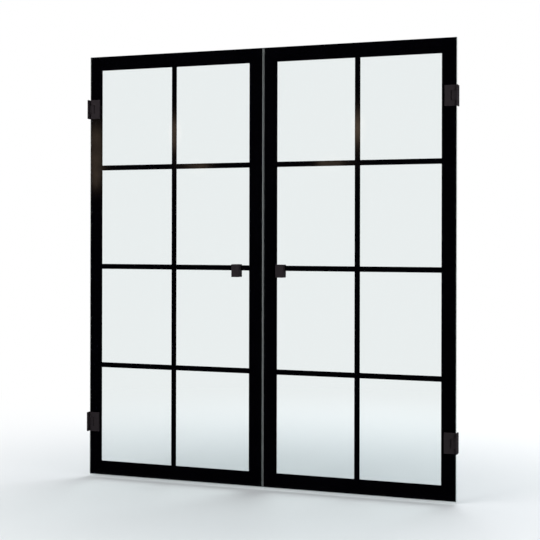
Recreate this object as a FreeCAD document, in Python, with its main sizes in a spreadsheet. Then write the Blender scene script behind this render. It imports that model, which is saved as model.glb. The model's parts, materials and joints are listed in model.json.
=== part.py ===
import FreeCAD, Part
import math
import os

import Sketcher
from FreeCAD import Placement, Rotation, Vector

# A pair of double-action glass shower doors between two walls.
# X runs along the doors with +X on the right as seen from the room, -Y faces the room, +Z is up.
# The origin is on the finished floor, midway between the walls, in the glass centre plane.
# All lengths are in millimetres.

driving_sizes = {
    # the niche and the two leaves
    "opening_width": 1770,
    "glass_height": 1990,
    "floor_gap": 10,
    "wall_gap": 7,
    "meeting_gap": 7,
    "glass_thickness": 8,
    "glass_arris": 0.5,
    # the printed grid
    "print_thickness": 0.2,
    "stile_band": 64,
    "rail_band": 67,
    "upright_bar": 25,
    "cross_bar": 24,
    "top_pane_extra": 6.5,
    # the wall plate and its knuckle
    "hinge_inset": 250,
    "hinge_height": 90,
    "wall_plate_thickness": 5,
    "wall_plate_depth": 46,
    "wall_plate_corner": 3,
    "wall_hole_radius": 2.75,
    "wall_hole_head_radius": 5,
    "wall_hole_depth_inset": 8,
    "wall_hole_height_inset": 12,
    "pivot_offset": 20,
    "knuckle_radius": 11,
    "knuckle_height": 40,
    # the pin and its washers
    "pin_radius": 4,
    "pin_play": 0.05,
    "pin_chamfer": 0.6,
    "pin_flat_depth": 0.8,
    "pin_flat_height": 12,
    "washer_radius": 9.5,
    "washer_thickness": 0.9,
    "washer_play": 0.1,
    # the clamp that grips the glass
    "clamp_reach": 50,
    "clamp_thickness": 6,
    "clamp_edge": 1,
    "nose_gap": 3.2,
    "nose_radius": 5.4,
    "knuckle_gap": 1,
    "gasket_thickness": 1,
    "notch_depth": 37,
    "notch_cover": 13.5,
    "notch_corner": 8,
    "notch_clearance": 0.5,
    "clamp_screw_radius": 3,
    "clamp_screw_head_radius": 6,
    "clamp_screw_inset": 6,
    "clamp_screw_setback": 7,
    "clamp_screw_engagement": 4.5,
    "screw_play": 0.2,
    "socket_width": 4,
    "socket_depth": 2.2,
    # the centring mechanism inside the knuckle
    "plunger_radius": 3.5,
    "plunger_length": 5,
    "plunger_play": 0.1,
    "spring_wall": 1,
    "plug_length": 3,
    "plug_recess": 0.5,
    # the knobs and what joins them
    "knob_width": 36,
    "knob_height": 58,
    "front_knob_projection": 28,
    "rear_knob_projection": 11,
    "knob_corner": 1.5,
    "knob_edge": 1,
    "knob_drop": 16,
    "left_knob_offset": 126,
    "right_knob_offset": 86,
    "knob_washer_radius": 14,
    "knob_washer_thickness": 1,
    "glass_hole_radius": 6,
    "sleeve_play": 0.2,
    "stud_radius": 4,
    "front_stud_engagement": 14,
    "rear_stud_engagement": 6,
    "stud_play": 0.05,
    # the seals
    "seal_wall": 1,
    "seal_play": 0.1,
    "meeting_leg": 9,
    "magnet_air_gap": 0.6,
    "magnet_skin": 0.4,
    "magnet_play": 0.05,
    "magnet_width": 7,
    "wiper_leg": 10,
    "wiper_lip": 1.2,
    "wiper_lean": 2,
    "wiper_clearance": 1,
    "drip_reach": 6,
    "drip_drop": 4,
    "side_leg": 8,
    "side_fin": 1.2,
    "side_fin_clearance": 1,
    "side_end_gap": 3,
    # how far a cutting tool runs past the face it opens
    "overrun": 2,
    # how closely a corner has to lie where an edge is looked for
    "match_tolerance": 0.001,
}
pane_columns = 2
pane_rows = 4

doc = FreeCAD.newDocument("shower_enclosure")
sheet = doc.addObject("Spreadsheet::Sheet", "Sizes")
for row, (alias, value) in enumerate(driving_sizes.items(), start=1):
    sheet.set(f"A{row}", alias)
    sheet.set(f"B{row}", str(value))
    sheet.setAlias(f"B{row}", alias)
doc.recompute()


class Size:
    """A length that knows both its value and the sheet formula that gives it."""

    def __init__(self, value, formula):
        self.value = value
        self.formula = formula

    def __add__(self, other):
        other = as_size(other)
        return Size(self.value + other.value, f"({self.formula} + {other.formula})")

    def __sub__(self, other):
        other = as_size(other)
        return Size(self.value - other.value, f"({self.formula} - {other.formula})")

    def __mul__(self, number):
        return Size(self.value * number, f"({self.formula} * {number})")

    def __truediv__(self, number):
        return Size(self.value / number, f"({self.formula} / {number})")

    def __neg__(self):
        return Size(-self.value, f"(-1 * {self.formula})")

    __rmul__ = __mul__


def as_size(length):
    return length if isinstance(length, Size) else Size(length, str(length))


def size(alias):
    return Size(float(sheet.get(alias)), f"Sizes.{alias}")


# Lengths that several pieces share, all worked out from the sheet.
half_opening = size("opening_width") / 2
leaf_width = (size("opening_width") - 2 * size("wall_gap") - size("meeting_gap")) / 2
half_glass = size("glass_thickness") / 2
print_face = half_glass + size("print_thickness")
front_clamp_face = print_face + size("gasket_thickness")
rear_clamp_face = half_glass + size("gasket_thickness")
clamp_start = size("wall_plate_thickness") + size("nose_gap")
clamp_end = clamp_start + size("clamp_reach")
arm_start = size("knuckle_height") / 2 + size("washer_thickness") + size("washer_play")
throat_end = size("pivot_offset") + size("knuckle_radius") + size("knuckle_gap")
half_hinge = size("hinge_height") / 2
half_notch = half_hinge - size("notch_cover")
notch_end = size("wall_gap") + size("notch_depth")
yoke_end = notch_end - size("notch_clearance")
half_yoke = half_notch - size("notch_clearance")
clamp_screw_place = yoke_end - size("clamp_screw_setback")
half_screw_spacing = half_yoke - size("clamp_screw_inset")
glass_top = size("floor_gap") + size("glass_height")
hinge_levels = {
    "top": glass_top - size("hinge_inset"),
    "bottom": size("floor_gap") + size("hinge_inset"),
}
knob_level = size("floor_gap") + size("glass_height") / 2 - size("knob_drop")
knob_seat = half_glass + size("knob_washer_thickness")
seal_reach = (size("meeting_gap") - size("magnet_air_gap")) / 2
seal_front = print_face + size("seal_play")
seal_rear = half_glass + size("seal_play")

sub_parts = []


def add_body(label):
    body = doc.addObject("PartDesign::Body", label)
    body.Label = label
    return body


def keep(thing):
    sub_parts.append(thing)
    return thing


def place(thing, x, y, z, rotation=Rotation()):
    thing.Placement = Placement(Vector(), rotation)
    for axis, length in (("x", x), ("y", y), ("z", z)):
        thing.setExpression(f"Placement.Base.{axis}", as_size(length).formula)


def bind_point(sketch, line, x, y):
    """Ties a line's start to the two formulas, or to an axis where one is zero."""
    for length, kind, axis in ((x, "DistanceX", -2), (y, "DistanceY", -1)):
        if isinstance(length, Size):
            index = sketch.addConstraint(Sketcher.Constraint(kind, line, 1, length.value))
            sketch.setExpression(f"Constraints[{index}]", length.formula)
        else:
            sketch.addConstraint(Sketcher.Constraint("PointOnObject", line, 1, axis))


def draw_outline(sketch, corners):
    """Draws a closed outline of straight lines through the corners."""
    first = sketch.GeometryCount
    count = len(corners)
    points = [Vector(as_size(x).value, as_size(y).value, 0) for x, y in corners]
    for i in range(count):
        sketch.addGeometry(Part.LineSegment(points[i], points[(i + 1) % count]))
    for i in range(count):
        follower = first + (i + 1) % count
        sketch.addConstraint(Sketcher.Constraint("Coincident", first + i, 2, follower, 1))
    for i, (x, y) in enumerate(corners):
        bind_point(sketch, first + i, x, y)


def draw_circle(sketch, x, y, radius):
    centre = Vector(as_size(x).value, as_size(y).value, 0)
    circle = sketch.addGeometry(Part.Circle(centre, Vector(0, 0, 1), radius.value))
    index = sketch.addConstraint(Sketcher.Constraint("Radius", circle, radius.value))
    sketch.setExpression(f"Constraints[{index}]", radius.formula)
    for length, kind, axis in ((x, "DistanceX", -2), (y, "DistanceY", -1)):
        if isinstance(length, Size):
            index = sketch.addConstraint(Sketcher.Constraint(kind, circle, 3, length.value))
            sketch.setExpression(f"Constraints[{index}]", length.formula)
        else:
            sketch.addConstraint(Sketcher.Constraint("PointOnObject", circle, 3, axis))


def box_corners(x_low, y_low, x_high, y_high):
    return [(x_low, y_low), (x_high, y_low), (x_high, y_high), (x_low, y_high)]


def centred_box(width, height):
    return box_corners(-width / 2, -height / 2, width / 2, height / 2)


def add_sketch(body, name, plane, level, outlines=(), circles=()):
    """A sketch on one of the body's own planes, at a level along +X, +Y or +Z."""
    sketch = body.newObject("Sketcher::SketchObject", name)
    support = [feature for feature in body.Origin.OriginFeatures if feature.Role == f"{plane}_Plane"]
    sketch.AttachmentSupport = [(support[0], "")]
    sketch.MapMode = "FlatFace"
    offset = -as_size(level) if plane == "XZ" else as_size(level)
    sketch.setExpression("AttachmentOffset.Base.z", offset.formula)
    for corners in outlines:
        draw_outline(sketch, corners)
    for circle in circles:
        draw_circle(sketch, *circle)
    return sketch


def add_pad(body, name, plane, low, high, outlines=(), circles=()):
    """Adds the outline's solid between two levels."""
    sketch = add_sketch(body, f"{name}_sketch", plane, low, outlines, circles)
    feature = body.newObject("PartDesign::Pad", name)
    feature.Profile = sketch
    feature.Reversed = plane == "XZ"
    feature.setExpression("Length", (as_size(high) - low).formula)
    return feature


def add_pocket(body, name, plane, low, high, outlines=(), circles=()):
    """Cuts the outline away between two levels, and makes sure that it did."""
    doc.recompute()
    before = body.Shape.Volume
    sketch = add_sketch(body, f"{name}_sketch", plane, low, outlines, circles)
    feature = body.newObject("PartDesign::Pocket", name)
    feature.Profile = sketch
    feature.Reversed = plane != "XZ"
    feature.setExpression("Length", (as_size(high) - low).formula)
    doc.recompute()
    if not body.Shape.Volume < before:
        raise ValueError(f"{name} of {body.Label} cuts nothing")
    return feature


def add_countersunk(body, name, plane, level, places, radius, head_radius):
    """Drills countersunk holes right through from the face at that level, and makes sure of it."""
    doc.recompute()
    before = body.Shape.Volume
    circles = [(x, y, radius) for x, y in places]
    sketch = add_sketch(body, f"{name}_sketch", plane, level, circles=circles)
    doc.recompute()
    drill = body.newObject("PartDesign::Hole", name)
    drill.Profile = sketch
    doc.recompute()
    drill.Reversed = plane == "XZ"
    drill.DepthType = "ThroughAll"
    drill.setExpression("Diameter", (radius * 2).formula)
    drill.HoleCutType = "Countersink"
    drill.HoleCutCustomValues = True
    drill.setExpression("HoleCutDiameter", (head_radius * 2).formula)
    drill.HoleCutCountersinkAngle = 90
    doc.recompute()
    if not body.Shape.Volume < before:
        raise ValueError(f"{name} of {body.Label} cuts nothing")
    return drill


def near(first, second):
    return abs(first - as_size(second).value) < size("match_tolerance").value


def runs_along(edge, axis):
    """Whether the edge's ends differ along that axis alone."""
    first, last = edge.Vertexes[0].Point, edge.Vertexes[-1].Point
    return all(near(getattr(first, other), getattr(last, other)) for other in "xyz" if other != axis)


def add_round(body, name, radius, wanted, along=None):
    """Rounds every edge whose two ends both pass the test, along one axis if it is given."""
    doc.recompute()
    names = []
    for number, edge in enumerate(body.Shape.Edges, start=1):
        if along and not runs_along(edge, along):
            continue
        if all(wanted(vertex.Point) for vertex in edge.Vertexes):
            names.append(f"Edge{number}")
    base = body.Tip
    feature = body.newObject("PartDesign::Fillet", name)
    feature.Base = (base, names)
    feature.setExpression("Radius", radius.formula)
    doc.recompute()
    return feature


def add_arris(body, name, width):
    """Bevels every edge round both faces of a sheet that stands across Y."""
    doc.recompute()
    names = []
    for number, edge in enumerate(body.Shape.Edges, start=1):
        if not runs_along(edge, "y"):
            names.append(f"Edge{number}")
    base = body.Tip
    feature = body.newObject("PartDesign::Chamfer", name)
    feature.Base = (base, names)
    feature.setExpression("Size", width.formula)
    doc.recompute()
    return feature


def hexagon(width, x=0, y=0):
    """Corners of a hexagon socket that is width across its flats."""
    corner_share = 1 / math.sqrt(3)
    corners = []
    for step in range(6):
        turn = math.pi / 6 + step * math.pi / 3
        across = width * round(corner_share * math.cos(turn), 9)
        along = width * round(corner_share * math.sin(turn), 9)
        corners.append((across + x, along + y))
    return corners


def add_turned(body, name, corners):
    """Turns a half outline, given as radius and height, round the Z axis."""
    sketch = add_sketch(body, f"{name}_sketch", "XZ", 0, [corners])
    feature = body.newObject("PartDesign::Revolution", name)
    feature.Profile = sketch
    feature.ReferenceAxis = (sketch, ["V_Axis"])
    feature.Angle = 360
    return feature


def add_group(label, master, placements):
    """Separate copies of one piece, kept together under one name."""
    doc.recompute()
    group = doc.addObject("Part::Feature", label)
    group.Label = label
    copies = []
    for placement in placements:
        copy = master.Shape.copy()
        copy.Placement = placement.multiply(copy.Placement)
        copies.append(copy)
    group.Shape = Part.makeCompound(copies)
    return group


def make_wall_plate(label):
    """The plate on the wall, with the knuckle that carries the pin at its middle."""
    half_depth = size("wall_plate_depth") / 2
    half_knuckle = size("knuckle_height") / 2
    thickness = size("wall_plate_thickness")
    pivot = size("pivot_offset")
    radius = size("knuckle_radius")
    hole_depth = half_depth - size("wall_hole_depth_inset")
    hole_height = half_hinge - size("wall_hole_height_inset")
    body = add_body(label)
    plate = centred_box(size("wall_plate_depth"), size("hinge_height"))
    add_pad(body, "plate", "YZ", 0, thickness, [plate])
    add_round(
        body,
        "plate_corners",
        size("wall_plate_corner"),
        lambda p: near(abs(p.y), half_depth) and near(abs(p.z), half_hinge),
        along="x",
    )
    web = box_corners(thickness - size("overrun"), -radius, pivot, radius)
    add_pad(body, "knuckle_web", "XY", -half_knuckle, half_knuckle, [web])
    barrel = [(pivot, 0, radius)]
    add_pad(body, "knuckle_barrel", "XY", -half_knuckle, half_knuckle, circles=barrel)
    bore = [(pivot, 0, size("pin_radius") + size("pin_play"))]
    run = half_knuckle + size("overrun")
    add_pocket(body, "pin_bore", "XY", -run, run, circles=bore)
    spring_bore = [(0, 0, size("plunger_radius") + size("plunger_play"))]
    add_pocket(body, "spring_bore", "YZ", 0, pivot, circles=spring_bore)
    holes = [(y, z) for y in (-hole_depth, hole_depth) for z in (-hole_height, hole_height)]
    head_radius = size("wall_hole_head_radius")
    add_countersunk(body, "wall_holes", "YZ", thickness, holes, size("wall_hole_radius"), head_radius)
    return body


def clamp_outline(start, end, half_height, throat, throat_half_height):
    """A C-shaped outline in X and Z that is open towards the wall."""
    return [
        (start, -half_height),
        (end, -half_height),
        (end, half_height),
        (start, half_height),
        (start, throat_half_height),
        (throat, throat_half_height),
        (throat, -throat_half_height),
        (start, -throat_half_height),
    ]


def make_clamp_plate(body, inner, outer):
    """One clamp plate between its glass side and its outer side, with a rounded nose."""
    low, high = (inner, outer) if outer.value > inner.value else (outer, inner)
    plan = box_corners(clamp_start, low, clamp_end, high)
    add_pad(body, "plate", "XY", -half_hinge, half_hinge, [plan])
    add_round(
        body,
        "nose",
        size("nose_radius"),
        lambda p: near(p.x, clamp_start) and near(p.y, outer),
        along="z",
    )
    throat = box_corners(clamp_start - size("overrun"), -arm_start, throat_end, arm_start)
    run = size("overrun")
    add_pocket(body, "throat", "XZ", low - run, high + run, [throat])
    add_round(
        body,
        "plate_edge",
        size("clamp_edge"),
        lambda p: near(p.y, outer) and (near(abs(p.z), half_hinge) or near(p.x, clamp_end)),
    )


def make_front_plate(label):
    body = add_body(label)
    make_clamp_plate(body, -front_clamp_face, -(front_clamp_face + size("clamp_thickness")))
    screws = []
    for z in (-half_screw_spacing, half_screw_spacing):
        screws.append((clamp_screw_place, z, size("clamp_screw_radius") + size("pin_play")))
    depth = size("clamp_screw_engagement") + size("screw_play")
    add_pocket(body, "threads", "XZ", -front_clamp_face - depth, -front_clamp_face, circles=screws)
    return body


def make_rear_clamp(label):
    """The rear plate with the C-shaped yoke that holds the pin inside the glass notch."""
    body = add_body(label)
    outer = rear_clamp_face + size("clamp_thickness")
    make_clamp_plate(body, rear_clamp_face, outer)
    yoke = clamp_outline(clamp_start, yoke_end, half_yoke, throat_end, arm_start)
    add_pad(body, "yoke", "XZ", -front_clamp_face, rear_clamp_face + size("overrun"), [yoke])
    add_round(
        body,
        "yoke_corners",
        size("notch_corner"),
        lambda p: near(p.x, yoke_end) and near(abs(p.z), half_yoke),
        along="y",
    )
    bore = [(size("pivot_offset"), 0, size("pin_radius") + size("pin_play"))]
    add_pocket(body, "pin_bore", "XY", -half_yoke, half_yoke, circles=bore)
    screws = [(clamp_screw_place, -half_screw_spacing), (clamp_screw_place, half_screw_spacing)]
    radius = size("clamp_screw_radius") + size("screw_play")
    head_radius = size("clamp_screw_head_radius") + size("screw_play")
    add_countersunk(body, "screw_holes", "XZ", outer, screws, radius, head_radius)
    return body


def make_gasket(label, low, high):
    """The soft sheet between a clamp plate and the glass."""
    body = add_body(label)
    outline = clamp_outline(clamp_start, clamp_end, half_hinge, notch_end, half_notch)
    add_pad(body, "gasket", "XZ", low, high, [outline])
    return body


def make_pin(label):
    """The hinge pin, with the flat that the centring plunger rests on."""
    body = add_body(label)
    radius = size("pin_radius")
    chamfer = size("pin_chamfer")
    corners = [
        (0, -half_yoke),
        (radius - chamfer, -half_yoke),
        (radius, chamfer - half_yoke),
        (radius, half_yoke - chamfer),
        (radius - chamfer, half_yoke),
        (0, half_yoke),
    ]
    add_turned(body, "pin", corners)
    half_flat = size("pin_flat_height") / 2
    flat = box_corners(-radius - size("overrun"), -half_flat, size("pin_flat_depth") - radius, half_flat)
    run = radius + size("overrun")
    add_pocket(body, "flat", "XZ", -run, run, [flat])
    return body


def make_ring(label, inner, outer, low, high):
    body = add_body(label)
    add_pad(body, "ring", "XY", low, high, circles=[(0, 0, outer), (0, 0, inner)])
    return body


def make_clamp_screw(label):
    """A countersunk screw along -Z whose head face lies at zero, with a hexagon socket."""
    body = add_body(label)
    radius = size("clamp_screw_radius")
    head = size("clamp_screw_head_radius")
    length = rear_clamp_face + front_clamp_face + size("clamp_thickness") + size("clamp_screw_engagement")
    corners = [(0, 0), (head, 0), (radius, radius - head), (radius, -length), (0, -length)]
    add_turned(body, "screw", corners)
    socket = hexagon(size("socket_width"))
    add_pocket(body, "socket", "XY", -size("socket_depth"), size("overrun"), [socket])
    return body


def make_glass(label, side, knob_place):
    """One leaf's glass in the niche's own X and Z, with its hinge notches and knob hole."""
    body = add_body(label)
    wall_edge = (half_opening - size("wall_gap")) * side
    meeting_edge = size("meeting_gap") / 2 * side
    notch_edge = (half_opening - notch_end) * side
    past_edge = (half_opening - size("wall_gap") + size("overrun")) * side
    sheet_outline = box_corners(wall_edge, size("floor_gap"), meeting_edge, glass_top)
    add_pad(body, "glass_sheet", "XZ", -half_glass, half_glass, [sheet_outline])
    add_arris(body, "arris", size("glass_arris"))
    notches = []
    for level in hinge_levels.values():
        notches.append(box_corners(past_edge, level - half_notch, notch_edge, level + half_notch))
    run = half_glass + size("overrun")
    add_pocket(body, "hinge_notches", "XZ", -run, run, notches)
    add_round(
        body,
        "notch_corners",
        size("notch_corner"),
        lambda p: near(p.x, notch_edge)
        and any(near(abs(p.z - level.value), half_notch) for level in hinge_levels.values()),
        along="y",
    )
    hole = [(knob_place, knob_level, size("glass_hole_radius"))]
    add_pocket(body, "knob_hole", "XZ", -run, run, circles=hole)
    return body


def make_print(label, side, knob_place):
    """The black grid on the room side of the glass: a border, an upright and cross bars."""
    body = add_body(label)
    arris = size("glass_arris")
    wall_edge = (half_opening - size("wall_gap") - arris) * side
    meeting_edge = (size("meeting_gap") / 2 + arris) * side
    print_top = glass_top - arris
    print_bottom = size("floor_gap") + arris
    notch_edge = (half_opening - notch_end) * side
    top = hinge_levels["top"]
    bottom = hinge_levels["bottom"]
    border = [
        (meeting_edge, print_bottom),
        (meeting_edge, print_top),
        (wall_edge, print_top),
        (wall_edge, top + half_notch),
        (notch_edge, top + half_notch),
        (notch_edge, top - half_notch),
        (wall_edge, top - half_notch),
        (wall_edge, bottom + half_notch),
        (notch_edge, bottom + half_notch),
        (notch_edge, bottom - half_notch),
        (wall_edge, bottom - half_notch),
        (wall_edge, print_bottom),
    ]
    bars_across = size("upright_bar") * (pane_columns - 1)
    bars_up = size("cross_bar") * (pane_rows - 1)
    pane_width = (leaf_width - 2 * size("stile_band") - bars_across) / pane_columns
    panes_up = size("glass_height") - 2 * size("rail_band") - bars_up
    pane_height = (panes_up - size("top_pane_extra")) / pane_rows
    outlines = [border]
    for column in range(pane_columns):
        start = size("meeting_gap") / 2 + size("stile_band")
        start = start + (pane_width + size("upright_bar")) * column
        for row in range(pane_rows):
            low = size("floor_gap") + size("rail_band") + (pane_height + size("cross_bar")) * row
            high = low + pane_height
            if row == pane_rows - 1:
                high = high + size("top_pane_extra")
            pane = box_corners(start * side, low, (start + pane_width) * side, high)
            outlines.append(pane)
    add_pad(body, "grid", "XZ", -print_face, -half_glass, outlines)
    clearing = size("knob_washer_radius") + size("knob_washer_thickness")
    run = size("overrun")
    bite = [(knob_place, knob_level, clearing)]
    add_pocket(body, "knob_seat", "XZ", -print_face - run, run - half_glass, circles=bite)
    return body


def make_knob(label, projection, engagement):
    """A pull block that stands on its washer at y = 0 and reaches towards -Y."""
    body = add_body(label)
    length = projection - size("knob_washer_thickness")
    block = centred_box(size("knob_width"), size("knob_height"))
    add_pad(body, "block", "XZ", -length, 0, [block])
    half_width = size("knob_width") / 2
    add_round(body, "corners", size("knob_corner"), lambda p: near(abs(p.x), half_width), along="y")
    add_round(body, "face_edge", size("knob_edge"), lambda p: near(p.y, -length))
    bore = [(0, 0, size("stud_radius") + size("stud_play"))]
    depth = engagement + size("overrun")
    add_pocket(body, "thread", "XZ", -depth, 0, circles=bore)
    return body


def magnet_outline(side, play=0):
    """The magnet strip's section or, with a play round it, that of its pocket in the seal."""
    skin = size("magnet_skin") + size("magnet_play") - play
    half_magnet = size("magnet_width") / 2 + play
    near_glass = (size("meeting_gap") / 2 - skin) * side
    near_gap = (size("meeting_gap") / 2 - seal_reach + skin) * side
    return box_corners(near_glass, -half_magnet, near_gap, half_magnet)


def make_meeting_seal(label, side):
    """The clear profile gripping the meeting edge, with a pocket for the magnet strip."""
    body = add_body(label)
    edge = size("meeting_gap") / 2
    root = (edge + size("meeting_leg")) * side
    glass_edge = edge * side
    tip = (edge - seal_reach) * side
    front = -(seal_front + size("seal_wall"))
    rear = seal_rear + size("seal_wall")
    outline = [
        (root, front),
        (tip, front),
        (tip, rear),
        (root, rear),
        (root, seal_rear),
        (glass_edge, seal_rear),
        (glass_edge, -seal_front),
        (root, -seal_front),
    ]
    pocket = magnet_outline(side, size("magnet_play"))
    add_pad(body, "profile", "XY", size("floor_gap"), glass_top, [outline, pocket])
    return body


def make_magnet(label, side):
    body = add_body(label)
    add_pad(body, "strip", "XY", size("floor_gap"), glass_top, [magnet_outline(side)])
    return body


def make_wiper(label, side):
    """The clear profile under the glass, with a lip to the floor and a drip rail inside."""
    body = add_body(label)
    wall = size("seal_wall")
    edge = size("floor_gap")
    top = edge + size("wiper_leg")
    front = -(seal_front + wall)
    rear = seal_rear + wall
    half_lip = size("wiper_lip") / 2
    tip = size("wiper_clearance")
    lean = size("wiper_lean")
    under = edge - wall
    outline = [
        (front, top),
        (front, under),
        (-half_lip, under),
        (lean - half_lip, tip),
        (lean + half_lip, tip),
        (half_lip, under),
        (seal_rear, under),
        (rear + size("drip_reach"), under - size("drip_drop")),
        (rear + size("drip_reach"), under - size("drip_drop") + wall),
        (rear, edge),
        (rear, top),
        (seal_rear, top),
        (seal_rear, edge),
        (-seal_front, edge),
        (-seal_front, top),
    ]
    inner = size("meeting_gap") / 2
    outer = half_opening - size("wall_gap")
    low, high = (inner, outer) if side > 0 else (-outer, -inner)
    add_pad(body, "profile", "YZ", low, high, [outline])
    # The legs stop short of the upright seals, which pass them at both ends.
    inner_stop = inner + size("meeting_leg") + size("seal_play")
    outer_stop = outer - size("side_leg") - size("seal_play")
    run = size("overrun")
    ends = []
    for start, stop in ((inner - run, inner_stop), (outer_stop, outer + run)):
        ends.append(box_corners(start * side, edge, stop * side, top + run))
    add_pocket(body, "leg_ends", "XZ", front - run, rear + size("drip_reach") + run, ends)
    return body


def side_seal_spans():
    """Lower and upper ends of the three lengths of side seal, clear of the hinges."""
    clear = half_hinge + size("side_end_gap")
    top = hinge_levels["top"]
    bottom = hinge_levels["bottom"]
    return [(size("floor_gap"), bottom - clear), (bottom + clear, top - clear), (top + clear, glass_top)]


def make_side_seals(label, side):
    """The clear profile on the wall edge, with a fin towards the wall, in three lengths."""
    edge = half_opening - size("wall_gap")
    wall = size("seal_wall")
    front = -(seal_front + wall)
    rear = seal_rear + wall
    half_fin = size("side_fin") / 2
    root = (edge - size("side_leg")) * side
    base = (edge + wall) * side
    tip = (half_opening - size("side_fin_clearance")) * side
    outline = [
        (root, front),
        (base, front),
        (base, -half_fin),
        (tip, -half_fin),
        (tip, half_fin),
        (base, half_fin),
        (base, rear),
        (root, rear),
        (root, seal_rear),
        (edge * side, seal_rear),
        (edge * side, -seal_front),
        (root, -seal_front),
    ]
    body = add_body(label)
    for number, (low, high) in enumerate(side_seal_spans()):
        add_pad(body, f"profile_{number}", "XY", low, high, [outline])
    return body


def hinge_placement(side, level):
    """The wall face at a hinge; on the right wall the hinge is turned about Y."""
    turn = Rotation() if side < 0 else Rotation(Vector(0, 1, 0), 180)
    return Placement(Vector(half_opening.value * side, 0, level.value), turn)


def place_hinge_piece(thing, side, level, x=0):
    turn = Rotation() if side < 0 else Rotation(Vector(0, 1, 0), 180)
    place(thing, (half_opening - x) * side, 0, level, turn)


# Pieces that are copied into groups.
washer = make_ring(
    "thrust_washer",
    size("pin_radius") + size("screw_play"),
    size("washer_radius"),
    size("knuckle_height") / 2 + size("washer_play"),
    arm_start,
)
clamp_screw = make_clamp_screw("clamp_screw")
plunger = add_body("centring_plunger")
plunger_tip = size("pivot_offset") - size("pin_radius") - size("plunger_play")
plunger_tail = plunger_tip - size("plunger_length")
add_pad(plunger, "plunger", "YZ", plunger_tail, plunger_tip, circles=[(0, 0, size("plunger_radius"))])
plug_end = size("plug_recess") + size("plug_length")
plug = add_body("centring_plug")
add_pad(plug, "plug", "YZ", size("plug_recess"), plug_end, circles=[(0, 0, size("plunger_radius"))])
plug_socket_end = size("plug_recess") + size("socket_depth")
add_pocket(plug, "plug_socket", "YZ", 0, plug_socket_end, [hexagon(size("socket_width"))])
spring = add_body("centring_spring")
spring_radius = size("plunger_radius") - size("plunger_play")
coil = [(0, 0, spring_radius), (0, 0, spring_radius - size("spring_wall"))]
add_pad(spring, "spring", "YZ", plug_end, plunger_tail, circles=coil)
front_gasket = make_gasket("front_gasket", -front_clamp_face, -print_face)
rear_gasket = make_gasket("rear_gasket", half_glass, rear_clamp_face)

sides = {"left": -1, "right": 1}
every_hinge = [(side, level) for side in sides.values() for level in hinge_levels.values()]
for label, master in (
    ("centring_plungers", plunger),
    ("centring_springs", spring),
    ("centring_plugs", plug),
):
    keep(add_group(label, master, [hinge_placement(side, level) for side, level in every_hinge]))

for name, side in sides.items():
    for where, level in hinge_levels.items():
        hinge = f"{name}_{where}"
        for piece, make in (
            ("wall_plate", make_wall_plate),
            ("front_clamp", make_front_plate),
            ("rear_clamp", make_rear_clamp),
        ):
            place_hinge_piece(keep(make(f"{hinge}_{piece}")), side, level)
        place_hinge_piece(keep(make_pin(f"{hinge}_pin")), side, level, size("pivot_offset"))

    hinges = [hinge_placement(side, level) for level in hinge_levels.values()]
    pivot = Placement(Vector(size("pivot_offset").value, 0, 0), Rotation())
    flipped = Placement(Vector(), Rotation(Vector(1, 0, 0), 180))
    washers = []
    screws = []
    for hinge in hinges:
        washers += [hinge.multiply(pivot), hinge.multiply(pivot).multiply(flipped)]
        for z in (-half_screw_spacing.value, half_screw_spacing.value):
            outer = (rear_clamp_face + size("clamp_thickness")).value
            head = Placement(Vector(clamp_screw_place.value, outer, z), Rotation(Vector(1, 0, 0), -90))
            screws.append(hinge.multiply(head))
    keep(add_group(f"{name}_thrust_washers", washer, washers))
    keep(add_group(f"{name}_clamp_screws", clamp_screw, screws))
    keep(add_group(f"{name}_front_gaskets", front_gasket, hinges))
    keep(add_group(f"{name}_rear_gaskets", rear_gasket, hinges))

    knob_place = size(f"{name}_knob_offset") * side
    keep(make_glass(f"{name}_glass", side, knob_place))
    keep(make_print(f"{name}_printed_grid", side, knob_place))
    front_stud = size("front_stud_engagement")
    rear_stud = size("rear_stud_engagement")
    front_knob = keep(make_knob(f"{name}_front_knob", size("front_knob_projection"), front_stud))
    place(front_knob, knob_place, -knob_seat, knob_level)
    rear_knob = keep(make_knob(f"{name}_rear_knob", size("rear_knob_projection"), rear_stud))
    place(rear_knob, knob_place, knob_seat, knob_level, Rotation(Vector(0, 0, 1), 180))

    along_y = Rotation(Vector(1, 0, 0), 90)
    stud = keep(add_body(f"{name}_knob_stud"))
    stud_circle = [(0, 0, size("stud_radius"))]
    add_pad(stud, "stud", "XY", -(knob_seat + rear_stud), knob_seat + front_stud, circles=stud_circle)
    place(stud, knob_place, 0, knob_level, along_y)
    bore = size("stud_radius") + size("sleeve_play")
    sleeve_radius = size("glass_hole_radius") - size("sleeve_play")
    sleeve = keep(make_ring(f"{name}_knob_sleeve", bore, sleeve_radius, -half_glass, half_glass))
    place(sleeve, knob_place, 0, knob_level, along_y)
    disc = make_ring(f"{name}_knob_washer", bore, size("knob_washer_radius"), half_glass, knob_seat)
    at_knob = Vector(knob_place.value, 0, knob_level.value)
    discs = [Placement(at_knob, along_y), Placement(at_knob, along_y.inverted())]
    keep(add_group(f"{name}_knob_washers", disc, discs))

    keep(make_meeting_seal(f"{name}_meeting_seal", side))
    keep(make_magnet(f"{name}_magnet_strip", side))
    keep(make_wiper(f"{name}_wiper_seal", side))
    keep(make_side_seals(f"{name}_side_seals", side))

doc.recompute()
for thing in doc.Objects:
    if "Invalid" in thing.State or "Error" in thing.State:
        raise ValueError(f"{thing.Label} failed: {thing.State}")
for thing in sub_parts:
    if thing.Shape.isNull() or not thing.Shape.isValid():
        raise ValueError(f"{thing.Label} has no valid shape")

os.makedirs("parts", exist_ok=True)
for thing in sub_parts:
    thing.Shape.exportStep(f"parts/{thing.Label}.step")
    solids = len(thing.Shape.Solids)
    print(f"{thing.Label}: {solids} solid(s), {thing.Shape.Volume:.0f} mm3")
print(f"{len(sub_parts)} sub-parts written")
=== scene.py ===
import json
import math

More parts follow.
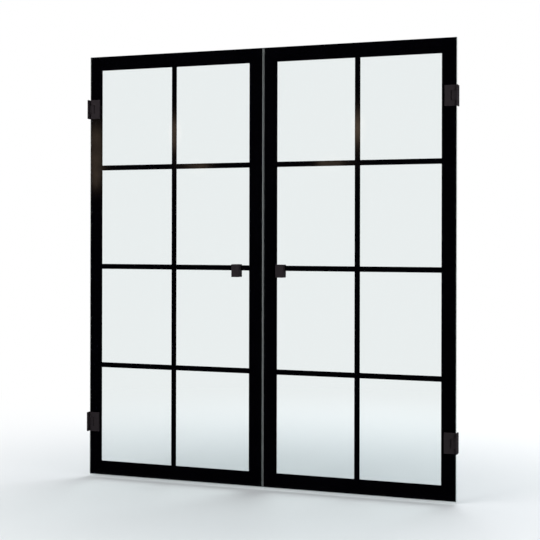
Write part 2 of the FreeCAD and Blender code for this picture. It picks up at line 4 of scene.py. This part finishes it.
import bpy
import numpy as np
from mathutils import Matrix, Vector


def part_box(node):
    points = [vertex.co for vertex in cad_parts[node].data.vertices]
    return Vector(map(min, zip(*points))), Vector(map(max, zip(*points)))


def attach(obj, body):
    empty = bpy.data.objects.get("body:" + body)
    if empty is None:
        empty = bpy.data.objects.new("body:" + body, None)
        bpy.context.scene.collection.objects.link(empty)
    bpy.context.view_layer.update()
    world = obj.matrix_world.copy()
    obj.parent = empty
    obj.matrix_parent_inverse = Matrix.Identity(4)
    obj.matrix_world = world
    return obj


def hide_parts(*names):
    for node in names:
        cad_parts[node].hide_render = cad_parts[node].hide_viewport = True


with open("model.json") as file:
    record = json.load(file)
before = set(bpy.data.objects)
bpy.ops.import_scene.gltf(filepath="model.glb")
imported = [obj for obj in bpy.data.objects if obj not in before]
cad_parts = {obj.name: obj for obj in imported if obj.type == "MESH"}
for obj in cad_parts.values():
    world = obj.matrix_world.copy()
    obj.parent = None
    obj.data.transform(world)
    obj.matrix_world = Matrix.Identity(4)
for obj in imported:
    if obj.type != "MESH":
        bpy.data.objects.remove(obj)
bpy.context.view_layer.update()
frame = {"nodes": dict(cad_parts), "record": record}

print("scene: frame loaded,", len(frame["nodes"]), "nodes")

# The doors stand in X and Z, with their front towards -Y. Everything is in metres.


# Shader helpers

def startMaterial(name):
    # an empty node tree with its output node
    material = bpy.data.materials.new(name)
    material.use_nodes = True
    tree = material.node_tree
    tree.nodes.clear()
    output = tree.nodes.new("ShaderNodeOutputMaterial")
    return material, tree, output


def addNode(tree, kind, values=(), **settings):
    # values fills input sockets by name, settings the node's own properties
    node = tree.nodes.new(kind)
    for setting, value in settings.items():
        setattr(node, setting, value)
    for socket, value in dict(values).items():
        node.inputs[socket].default_value = value
    return node


def objectCoordinates(tree, scale=(1, 1, 1)):
    # Object coordinates, stretched per axis so that grain can run one way
    coordinates = addNode(tree, "ShaderNodeTexCoord")
    mapping = addNode(tree, "ShaderNodeMapping", {"Scale": scale})
    tree.links.new(coordinates.outputs["Object"], mapping.inputs["Vector"])
    return mapping.outputs["Vector"]


def addNoise(tree, vector, scale, detail=2.0, roughness=0.5):
    noise = addNode(tree, "ShaderNodeTexNoise",
                    {"Scale": scale, "Detail": detail, "Roughness": roughness})
    tree.links.new(vector, noise.inputs["Vector"])
    return noise.outputs["Fac"]


def spread(tree, source, low, high, fromLow=0.3, fromHigh=0.7):
    # maps a source to a range of values; a noise lies mostly between 0.3 and 0.7
    remap = addNode(tree, "ShaderNodeMapRange",
                    {"From Min": fromLow, "From Max": fromHigh, "To Min": low, "To Max": high})
    tree.links.new(source, remap.inputs["Value"])
    return remap.outputs["Result"]


def mixColors(tree, source, first, second):
    mix = addNode(tree, "ShaderNodeMix", data_type="RGBA")
    tree.links.new(source, mix.inputs["Factor"])
    mix.inputs["A"].default_value = (*first, 1)
    mix.inputs["B"].default_value = (*second, 1)
    return mix.outputs["Result"]


def addBump(tree, height, strength, distance, under=None):
    # a bump, laid over another one where that is given
    bump = addNode(tree, "ShaderNodeBump", {"Strength": strength, "Distance": distance})
    tree.links.new(height, bump.inputs["Height"])
    if under:
        tree.links.new(under, bump.inputs["Normal"])
    return bump.outputs["Normal"]


def mixShaders(tree, share, first, second):
    # the second shader where the share is 1
    mix = addNode(tree, "ShaderNodeMixShader")
    tree.links.new(share, mix.inputs["Fac"])
    tree.links.new(first, mix.inputs[1])
    tree.links.new(second, mix.inputs[2])
    return mix.outputs["Shader"]


def followPattern(tree, shader, pattern, look):
    # the pattern takes the tone from dark to light and the gloss from smooth to rough
    color = mixColors(tree, spread(tree, pattern, 0, 1), look["dark"], look["light"])
    tree.links.new(color, shader.inputs["Base Color"])
    gloss = spread(tree, pattern, look["smooth"], look["rough"])
    tree.links.new(gloss, shader.inputs["Roughness"])


def letLampsThrough(tree, shader, output, tint):
    # rays towards a lamp pass straight on, so that clear pieces cast a pale shadow
    path = addNode(tree, "ShaderNodeLightPath")
    clear = addNode(tree, "ShaderNodeBsdfTransparent", {"Color": (*tint, 1)})
    mix = mixShaders(tree, path.outputs["Is Shadow Ray"], shader.outputs["BSDF"],
                     clear.outputs["BSDF"])
    tree.links.new(mix, output.inputs["Surface"])


def rayShares(tree):
    # two switches: 1 where the eye sees directly or through glass, and 1 where gloss mirrors
    path = addNode(tree, "ShaderNodeLightPath")
    seen = addNode(tree, "ShaderNodeMath", operation="MAXIMUM")
    tree.links.new(path.outputs["Is Camera Ray"], seen.inputs[0])
    tree.links.new(path.outputs["Is Transmission Ray"], seen.inputs[1])
    mirrored = addNode(tree, "ShaderNodeMath", operation="GREATER_THAN")
    tree.links.new(path.outputs["Glossy Depth"], mirrored.inputs[0])
    mirrored.inputs[1].default_value = 0.5  # between no bounce and one
    return seen.outputs["Value"], mirrored.outputs["Value"]


# Materials, one function for each finish

clearGlass = {
    "face": (0.90, 0.938, 0.942),
    "shadowTint": (0.93, 0.96, 0.95),
    "depthTint": (0.72, 0.93, 0.86),  # what the glass keeps of white light over its length
    "depthDensity": 5.0,
    "refraction": 1.52,
    "edgeTint": (0.40, 0.46, 0.44),
    "edgeRough": 0.45,
    "edgeStart": 0.00001,  # how far under the face the ground edge begins
    "edgeDepth": 0.0001,  # and where it has its full finish
    "waveScale": 3.0,
    "waveStretch": (0.3, 1, 1),
    "waveStrength": 0.05,
    "waveHeight": 0.0004,
}


def makeClearGlass():
    material, tree, output = startMaterial("clearGlass")
    shader = addNode(tree, "ShaderNodeBsdfPrincipled",
                     {"IOR": clearGlass["refraction"], "Transmission Weight": 1.0})
    # the faces are clear, and the ground edges, which lie nearer to the middle plane, are satin
    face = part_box("left_glass")[1][1]
    axes = addNode(tree, "ShaderNodeSeparateXYZ")
    tree.links.new(objectCoordinates(tree), axes.inputs["Vector"])
    level = addNode(tree, "ShaderNodeMath", operation="ABSOLUTE")
    tree.links.new(axes.outputs["Y"], level.inputs[0])
    edge = spread(tree, level.outputs["Value"], 1, 0, face - clearGlass["edgeDepth"],
                  face - clearGlass["edgeStart"])
    tint = mixColors(tree, edge, clearGlass["face"], clearGlass["edgeTint"])
    tree.links.new(tint, shader.inputs["Base Color"])
    satin = spread(tree, edge, 0, clearGlass["edgeRough"], 0, 1)
    tree.links.new(satin, shader.inputs["Roughness"])
    # roller waves: slow ripples along the height that only reflections show
    vector = objectCoordinates(tree, clearGlass["waveStretch"])
    wave = addNoise(tree, vector, clearGlass["waveScale"], detail=0)
    normal = addBump(tree, wave, clearGlass["waveStrength"], clearGlass["waveHeight"])
    tree.links.new(normal, shader.inputs["Normal"])
    depth = addNode(tree, "ShaderNodeVolumeAbsorption",
                    {"Color": (*clearGlass["depthTint"], 1),
                     "Density": clearGlass["depthDensity"]})
    tree.links.new(depth.outputs["Volume"], output.inputs["Volume"])
    letLampsThrough(tree, shader, output, clearGlass["shadowTint"])
    return material


blackEnamel = {
    "dark": (0.0002, 0.0002, 0.0006),
    "light": (0.0006, 0.0005, 0.0011),
    "refraction": 2.0,
    "smooth": 0.05,
    "rough": 0.10,
    "cloudScale": 6.0,
    "grainScale": 2200.0,
    "grainStrength": 0.08,
    "grainHeight": 0.00002,
}


def makeBlackEnamel():
    # fired ceramic ink: deep black, glossy, with a slightly cloudy gloss and a fine printed grain
    material, tree, output = startMaterial("blackEnamel")
    shader = addNode(tree, "ShaderNodeBsdfPrincipled", {"IOR": blackEnamel["refraction"]})
    vector = objectCoordinates(tree)
    cloud = addNoise(tree, vector, blackEnamel["cloudScale"], detail=4)
    followPattern(tree, shader, cloud, blackEnamel)
    grain = addNoise(tree, vector, blackEnamel["grainScale"], detail=1)
    normal = addBump(tree, grain, blackEnamel["grainStrength"], blackEnamel["grainHeight"])
    tree.links.new(normal, shader.inputs["Normal"])
    tree.links.new(shader.outputs["BSDF"], output.inputs["Surface"])
    return material


powderCoat = {
    "dark": (0.0150, 0.0108, 0.0128),
    "light": (0.0240, 0.0176, 0.0207),
    "refraction": 1.45,
    "smooth": 0.46,
    "rough": 0.62,
    "peelScale": 420.0,
    "peelStrength": 0.35,
    "peelHeight": 0.00012,
    "speckScale": 1500.0,
    "speckStrength": 0.5,
    "speckHeight": 0.00003,
}


def makePowderCoat():
    # fine matt powder coat: sand-like specks over a soft orange peel
    material, tree, output = startMaterial("powderCoat")
    shader = addNode(tree, "ShaderNodeBsdfPrincipled", {"IOR": powderCoat["refraction"]})
    vector = objectCoordinates(tree)
    speck = addNoise(tree, vector, powderCoat["speckScale"], detail=3, roughness=0.65)
    peel = addNoise(tree, vector, powderCoat["peelScale"])
    followPattern(tree, shader, speck, powderCoat)
    coarse = addBump(tree, peel, powderCoat["peelStrength"], powderCoat["peelHeight"])
    fine = addBump(tree, speck, powderCoat["speckStrength"], powderCoat["speckHeight"], coarse)
    tree.links.new(fine, shader.inputs["Normal"])
    tree.links.new(shader.outputs["BSDF"], output.inputs["Surface"])
    return material


blackOxide = {
    "dark": (0.020, 0.020, 0.022),
    "light": (0.045, 0.044, 0.046),
    "metal": 0.7,
    "smooth": 0.30,
    "rough": 0.48,
    "blotchScale": 700.0,
    "blotchStrength": 0.2,
    "blotchHeight": 0.00003,
}


def makeBlackOxide():
    # blackened screws: a thin oily film over steel
    material, tree, output = startMaterial("blackOxide")
    shader = addNode(tree, "ShaderNodeBsdfPrincipled", {"Metallic": blackOxide["metal"]})
    blotch = addNoise(tree, objectCoordinates(tree), blackOxide["blotchScale"], detail=3)
    followPattern(tree, shader, blotch, blackOxide)
    normal = addBump(tree, blotch, blackOxide["blotchStrength"], blackOxide["blotchHeight"])
    tree.links.new(normal, shader.inputs["Normal"])
    tree.links.new(shader.outputs["BSDF"], output.inputs["Surface"])
    return material


turnedSteel = {
    "dark": (0.42, 0.42, 0.43),
    "light": (0.62, 0.62, 0.61),
    "smooth": 0.18,
    "rough": 0.34,
    "ringScale": 900.0,
    "ringStretch": (0.02, 0.02, 1),
    "ringStrength": 0.15,
    "ringHeight": 0.00002,
}


def makeTurnedSteel():
    # lathe-turned steel: fine rings, drawn as noise squeezed along the length
    material, tree, output = startMaterial("turnedSteel")
    shader = addNode(tree, "ShaderNodeBsdfPrincipled", {"Metallic": 1.0})
    vector = objectCoordinates(tree, turnedSteel["ringStretch"])
    rings = addNoise(tree, vector, turnedSteel["ringScale"])
    followPattern(tree, shader, rings, turnedSteel)
    normal = addBump(tree, rings, turnedSteel["ringStrength"], turnedSteel["ringHeight"])
    tree.links.new(normal, shader.inputs["Normal"])
    tree.links.new(shader.outputs["BSDF"], output.inputs["Surface"])
    return material


moulded = {
    "refraction": 1.5,
    "mottleStrength": 0.2,
    "mottleHeight": 0.00004,
    "nylon": {"dark": (0.020, 0.020, 0.021), "light": (0.034, 0.034, 0.035),
              "scale": 900.0, "smooth": 0.36, "rough": 0.50},
    "gasket": {"dark": (0.012, 0.012, 0.013), "light": (0.022, 0.022, 0.023),
               "scale": 1300.0, "smooth": 0.70, "rough": 0.86},
    "magnet": {"dark": (0.105, 0.105, 0.107), "light": (0.160, 0.160, 0.163),
               "scale": 800.0, "smooth": 0.60, "rough": 0.75},
}


def makeMoulded(kind):
    # moulded or rolled plastic and rubber: a mottled tone with a faint grain
    look = moulded[kind]
    material, tree, output = startMaterial(kind)
    shader = addNode(tree, "ShaderNodeBsdfPrincipled", {"IOR": moulded["refraction"]})
    mottle = addNoise(tree, objectCoordinates(tree), look["scale"], detail=3)
    followPattern(tree, shader, mottle, look)
    normal = addBump(tree, mottle, moulded["mottleStrength"], moulded["mottleHeight"])
    tree.links.new(normal, shader.inputs["Normal"])
    tree.links.new(shader.outputs["BSDF"], output.inputs["Surface"])
    return material


clearSeal = {
    "tint": (0.985, 0.99, 0.988),
    "body": (0.06, 0.065, 0.065),
    "refraction": 1.5,
    "smooth": 0.10,
    "rough": 0.22,
    "streakScale": 260.0,
    "streakStretch": (1, 1, 0.02),
    "streakStrength": 0.15,
    "streakHeight": 0.00005,
    "facingGloss": 0.0,
    "edgeGloss": 0.32,
    "edgeBlend": 0.22,
}


def makeClearSeal():
    # Extruded clear plastic, so thin that it doesn't bend light: it lets everything through with a
    # faint tint and shines where it is seen edge-on. Long die lines run along the profile.
    material, tree, output = startMaterial("clearSeal")
    vector = objectCoordinates(tree, clearSeal["streakStretch"])
    streak = addNoise(tree, vector, clearSeal["streakScale"])
    haze = spread(tree, streak, clearSeal["smooth"], clearSeal["rough"])
    normal = addBump(tree, streak, clearSeal["streakStrength"], clearSeal["streakHeight"])
    through = addNode(tree, "ShaderNodeBsdfTransparent", {"Color": (*clearSeal["tint"], 1)})
    gloss = addNode(tree, "ShaderNodeBsdfPrincipled",
                    {"Base Color": (*clearSeal["body"], 1), "IOR": clearSeal["refraction"]})
    tree.links.new(haze, gloss.inputs["Roughness"])
    tree.links.new(normal, gloss.inputs["Normal"])
    facing = addNode(tree, "ShaderNodeLayerWeight", {"Blend": clearSeal["edgeBlend"]})
    share = spread(tree, facing.outputs["Facing"], clearSeal["facingGloss"],
                   clearSeal["edgeGloss"], 0, 1)
    mix = mixShaders(tree, share, through.outputs["BSDF"], gloss.outputs["BSDF"])
    tree.links.new(mix, output.inputs["Surface"])
    return material


finishes = {
    "clear_glass": makeClearGlass(),
    "black_enamel": makeBlackEnamel(),
    "black_powder_coat": makePowderCoat(),
    "black_screw": makeBlackOxide(),
    "bright_steel": makeTurnedSteel(),
    "black_nylon": makeMoulded("nylon"),
    "clear_seal": makeClearSeal(),
    "magnet_rubber": makeMoulded("magnet"),
    "gasket_rubber": makeMoulded("gasket"),
}

slotOfNode = {part["node"]: part["material_slot"] for part in frame["record"]["subparts"]}
for name, node in frame["nodes"].items():
    node.data.materials.clear()
    node.data.materials.append(finishes[slotOfNode[name]])
print("scene: finishes on all CAD nodes")


def makeMesh(name, points, faces, smooth=True):
    # an object at the origin, with its place in its mesh
    mesh = bpy.data.meshes.new(name)
    mesh.from_pydata(points.tolist(), [], faces)
    mesh.update()
    if smooth:
        mesh.polygons.foreach_set("use_smooth", np.ones(len(mesh.polygons), bool))
    piece = bpy.data.objects.new(name, mesh)
    bpy.context.scene.collection.objects.link(piece)
    return piece


# Centring springs: real coils in place of the plain sleeves inside the knuckles

coil = {
    "turns": 4.5,
    "wireRadius": 0.00045,
    "samplesPerTurn": 28,
    "sides": 10,
}


def tubeFaces(rings, sides, first=0):
    # quads between neighbouring rings, then one cap at each end
    ring, side = np.meshgrid(np.arange(rings - 1), np.arange(sides), indexing="ij")
    a = first + ring * sides + side
    b = first + ring * sides + (side + 1) % sides
    quads = np.stack([a, b, b + sides, a + sides], -1).reshape(-1, 4).tolist()
    start = [first + s for s in reversed(range(sides))]
    end = [first + (rings - 1) * sides + s for s in range(sides)]
    return quads + [start, end]


def coilPoints(low, high):
    # A helix along X whose radius leaves the wire inside the sleeve; a circle of the wire's
    # radius is carried along it, square to the helix's own tangent.
    centre = (low + high) / 2
    radius = (high[2] - low[2]) / 2 - coil["wireRadius"]
    length = high[0] - low[0] - 2 * coil["wireRadius"]
    count = int(coil["turns"] * coil["samplesPerTurn"]) + 1
    turn = np.linspace(0, 2 * math.pi * coil["turns"], count)
    out = np.stack([np.zeros(count), np.cos(turn), np.sin(turn)], 1)
    along = low[0] + coil["wireRadius"] + length * turn / turn[-1]
    line = np.stack([along, centre[1] + radius * out[:, 1], centre[2] + radius * out[:, 2]], 1)
    pitch = length / turn[-1]
    tangent = np.stack([np.full(count, pitch), -radius * np.sin(turn), radius * np.cos(turn)], 1)
    tangent /= np.linalg.norm(tangent, axis=1, keepdims=True)
    side = np.cross(tangent, out)
    angle = np.linspace(0, 2 * math.pi, coil["sides"], endpoint=False)
    circle = (np.cos(angle)[None, :, None] * out[:, None, :]
              + np.sin(angle)[None, :, None] * side[:, None, :])
    return (line[:, None, :] + coil["wireRadius"] * circle).reshape(-1, 3), count


def splitBoxes(node):
    # boxes of the separate solids in a group, found by which wall and level they lie at
    vertices = frame["nodes"][node].data.vertices
    points = np.empty(len(vertices) * 3, np.float32)
    vertices.foreach_get("co", points)
    points = points.reshape(-1, 3).astype(float)
    middle = (points[:, 2].min() + points[:, 2].max()) / 2
    boxes = []
    for rightSide in (False, True):
        for upper in (False, True):
            chosen = points[((points[:, 0] > 0) == rightSide) & ((points[:, 2] > middle) == upper)]
            boxes.append((chosen.min(0), chosen.max(0)))
    return boxes


springPoints, springFaces, taken = [], [], 0
for low, high in splitBoxes("centring_springs"):
    points, rings = coilPoints(low, high)
    springFaces += tubeFaces(rings, coil["sides"], taken)
    springPoints.append(points)
    taken += len(points)
springs = makeMesh("centringCoils", np.concatenate(springPoints), springFaces)
springs.data.materials.append(finishes["bright_steel"])
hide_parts("centring_springs")
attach(springs, "wall_hardware")
print("scene: centring coils made,", len(springs.data.polygons), "faces")


# Floor, world and lamps

floorLook = {
    "half": 60.0,  # half its width
    "near": (0.612, 0.633, 0.643),
    "far": (0.93, 0.94, 0.945),
    "fadeStart": 0.5,  # how far from the origin it begins to grow white
    "fadeEnd": 3.6,
    "rough": 0.55,
}


def makeFloor():
    # a pale floor that grows white with distance, so that no horizon line shows
    half = floorLook["half"]
    corners = np.array([(-half, -half, 0), (half, -half, 0), (half, half, 0), (-half, half, 0)])
    floor = makeMesh("paleFloor", corners, [(0, 1, 2, 3)], smooth=False)
    material, tree, output = startMaterial("paleFloor")
    shader = addNode(tree, "ShaderNodeBsdfPrincipled", {"Roughness": floorLook["rough"]})
    coordinates = addNode(tree, "ShaderNodeTexCoord")
    distance = addNode(tree, "ShaderNodeVectorMath", operation="LENGTH")
    tree.links.new(coordinates.outputs["Object"], distance.inputs[0])
    fade = addNode(tree, "ShaderNodeMapRange",
                   {"From Min": floorLook["fadeStart"], "From Max": floorLook["fadeEnd"]},
                   interpolation_type="SMOOTHSTEP")
    tree.links.new(distance.outputs["Value"], fade.inputs["Value"])
    color = mixColors(tree, fade.outputs["Result"], floorLook["near"], floorLook["far"])
    tree.links.new(color, shader.inputs["Base Color"])
    # far floor: seen as white itself, and lights nothing
    seen, mirrored = rayShares(tree)
    share = addNode(tree, "ShaderNodeMath", operation="MULTIPLY")
    tree.links.new(seen, share.inputs[0])
    tree.links.new(fade.outputs["Result"], share.inputs[1])
    white = addNode(tree, "ShaderNodeEmission", {"Color": (1, 1, 1, 1), "Strength": 1.0})
    seenMix = mixShaders(tree, share.outputs["Value"], shader.outputs["BSDF"],
                         white.outputs["Emission"])
    # gloss looks through the floor at the world, so that no horizon line shows in the black
    clear = addNode(tree, "ShaderNodeBsdfTransparent", {"Color": (1, 1, 1, 1)})
    glossMix = mixShaders(tree, mirrored, seenMix, clear.outputs["BSDF"])
    tree.links.new(glossMix, output.inputs["Surface"])
    floor.data.materials.append(material)


makeFloor()

studioLight = {
    "ambient": (0.93, 0.965, 1.0),
    "ambientStrength": 0.62,
    "front": (0.0008, 0.0008, 0.0016),  # what gloss mirrors in front of the doors
    "rear": (0.12, 0.124, 0.13),  # and behind them
    "frontEdge": -0.45,  # where along Y the front fades into the rear
    "rearEdge": 0.25,
}


def makeWorld():
    # white to the eye and through glass, soft and cool as light, dark in front in gloss
    world = bpy.data.worlds.new("studio")
    bpy.context.scene.world = world
    world.use_nodes = True
    tree = world.node_tree
    tree.nodes.clear()
    output = tree.nodes.new("ShaderNodeOutputWorld")
    ambient = addNode(tree, "ShaderNodeBackground",
                      {"Color": (*studioLight["ambient"], 1),
                       "Strength": studioLight["ambientStrength"]})
    white = addNode(tree, "ShaderNodeBackground", {"Color": (1, 1, 1, 1), "Strength": 1.0})
    gloss = addNode(tree, "ShaderNodeBackground", {"Strength": 1.0})
    direction = addNode(tree, "ShaderNodeTexCoord")
    axes = addNode(tree, "ShaderNodeSeparateXYZ")
    tree.links.new(direction.outputs["Generated"], axes.inputs["Vector"])
    towards = spread(tree, axes.outputs["Y"], 0, 1, studioLight["frontEdge"],
                     studioLight["rearEdge"])
    color = mixColors(tree, towards, studioLight["front"], studioLight["rear"])
    tree.links.new(color, gloss.inputs["Color"])
    seen, mirrored = rayShares(tree)
    seenMix = mixShaders(tree, seen, ambient.outputs["Background"], white.outputs["Background"])
    glossMix = mixShaders(tree, mirrored, seenMix, gloss.outputs["Background"])
    tree.links.new(glossMix, output.inputs["Surface"])


makeWorld()


def aim(thing, place, target):
    # stands the thing at a place with its -Z axis towards the target
    offset = np.array(target, float) - np.array(place, float)
    flat = math.hypot(offset[0], offset[1])
    thing.location = place
    thing.rotation_euler = (math.atan2(flat, -offset[2]), 0, math.atan2(-offset[0], offset[1]))


lampTarget = (0, 0, 0.9)  # a point near the middle of the doors

lamps = {
    "keyLamp": {"place": (-2.6, -3.4, 4.4), "width": 3.2, "height": 3.2, "power": 162,
                "color": (1.0, 0.985, 0.96)},
    "fillLamp": {"place": (4.0, -1.6, 2.6), "width": 3.0, "height": 3.0, "power": 80,
                 "color": (0.94, 0.97, 1.0)},
    "backLamp": {"place": (0.4, 3.6, 4.0), "width": 3.6, "height": 3.0, "power": 200,
                 "color": (0.97, 0.985, 1.0)},
}

for name, lamp in lamps.items():
    light = bpy.data.lights.new(name, "AREA")
    light.shape = "RECTANGLE"
    light.size = lamp["width"]
    light.size_y = lamp["height"]
    light.energy = lamp["power"]
    light.color = lamp["color"]
    holder = bpy.data.objects.new(name, light)
    bpy.context.scene.collection.objects.link(holder)
    aim(holder, lamp["place"], lampTarget)
    holder.visible_camera = False
    holder.visible_glossy = False
    holder.visible_transmission = False


# Warm glow cards: only gloss mirrors them, as soft brown patches on the black bars

cameraLook = {
    "place": (1.75642, -4.89706, 1.13218),
    "turn": 19.404,
    "roll": -0.124,
    "lens": 76.493,
    "sensor": 36.0,
    "shiftY": -0.05687,
    "pixels": 540,  # the photograph's width and height
}

glowCards = {
    "depth": 6.0,  # how far in front of the doors the cards stand
    "color": (1.0, 0.74, 0.53),
    "coreShare": 0.5,  # how much of a card, from its middle out, is fully bright
    "cloudScale": 8.0,
    "cloudLow": 0.5,  # the cloud's least and most, as shares of the strength
    "cloudHigh": 1.5,
    # the middle of each patch in the photograph, half its card's width and height, and how bright
    "patches": [
        {"pixel": (96, 156), "half": (0.09, 0.46), "strength": 0.42},
        {"pixel": (175, 134), "half": (0.10, 0.19), "strength": 0.86},
        {"pixel": (197, 167), "half": (0.16, 0.10), "strength": 0.38},
        {"pixel": (358, 128), "half": (0.10, 0.20), "strength": 0.88},
        {"pixel": (331, 163), "half": (0.16, 0.10), "strength": 0.50},
    ],
}


def mirroredPlace(pixelX, pixelY):
    # where a line of sight through that pixel goes once the closed doors have mirrored it
    turn = math.radians(cameraLook["turn"])
    pixels = cameraLook["pixels"]
    focal = pixels * cameraLook["lens"] / cameraLook["sensor"]
    across = (pixelX - pixels / 2) / focal
    rise = (pixels * (0.5 + cameraLook["shiftY"]) - pixelY) / focal
    slopeX = -math.sin(turn) + across * math.cos(turn)
    slopeY = math.cos(turn) + across * math.sin(turn)
    x, y, z = cameraLook["place"]
    run = (glowCards["depth"] - y) / slopeY
    return x + run * slopeX, -glowCards["depth"], z + run * rise


def makeGlowCards():
    for number, patch in enumerate(glowCards["patches"]):
        halfWidth, halfHeight = patch["half"]
        x, y, z = mirroredPlace(*patch["pixel"])
        corners = np.array([(-halfWidth, 0, -halfHeight), (halfWidth, 0, -halfHeight),
                            (halfWidth, 0, halfHeight), (-halfWidth, 0, halfHeight)])
        card = makeMesh(f"glowCard{number}", corners + (x, y, z), [(0, 1, 2, 3)], smooth=False)
        material, tree, output = startMaterial(f"glowCard{number}")
        coordinates = addNode(tree, "ShaderNodeTexCoord")
        mapping = addNode(tree, "ShaderNodeMapping",
                          {"Location": (-x / halfWidth, 0, -z / halfHeight),
                           "Scale": (1 / halfWidth, 0, 1 / halfHeight)})
        tree.links.new(coordinates.outputs["Object"], mapping.inputs["Vector"])
        # brightest in the middle, nothing at the rim, with a cloudy unevenness
        rim = addNode(tree, "ShaderNodeVectorMath", operation="LENGTH")
        tree.links.new(mapping.outputs["Vector"], rim.inputs[0])
        fall = addNode(tree, "ShaderNodeMapRange",
                       {"From Min": 1.0, "From Max": glowCards["coreShare"]},
                       interpolation_type="SMOOTHSTEP")
        tree.links.new(rim.outputs["Value"], fall.inputs["Value"])
        vector = coordinates.outputs["Object"]
        cloud = addNoise(tree, vector, glowCards["cloudScale"], detail=3)
        low = glowCards["cloudLow"] * patch["strength"]
        high = glowCards["cloudHigh"] * patch["strength"]
        level = addNode(tree, "ShaderNodeMath", operation="MULTIPLY")
        tree.links.new(fall.outputs["Result"], level.inputs[0])
        tree.links.new(spread(tree, cloud, low, high), level.inputs[1])
        glow = addNode(tree, "ShaderNodeEmission", {"Color": (*glowCards["color"], 1)})
        tree.links.new(level.outputs["Value"], glow.inputs["Strength"])
        tree.links.new(glow.outputs["Emission"], output.inputs["Surface"])
        card.data.materials.append(material)
        card.visible_camera = False
        card.visible_diffuse = False
        card.visible_transmission = False
        card.visible_shadow = False
        card.visible_volume_scatter = False


makeGlowCards()


# Camera at the photograph's viewing angle

eye = bpy.data.cameras.new("photoView")
eye.sensor_width = cameraLook["sensor"]
eye.lens = cameraLook["lens"]
eye.shift_y = cameraLook["shiftY"]
camera = bpy.data.objects.new("photoView", eye)
camera.location = cameraLook["place"]
level = math.radians(90)
camera.rotation_euler = (level, math.radians(cameraLook["roll"]), math.radians(cameraLook["turn"]))
bpy.context.scene.collection.objects.link(camera)
bpy.context.scene.camera = camera
bpy.context.scene.view_settings.view_transform = "Standard"
print("scene: floor, lights and camera set")
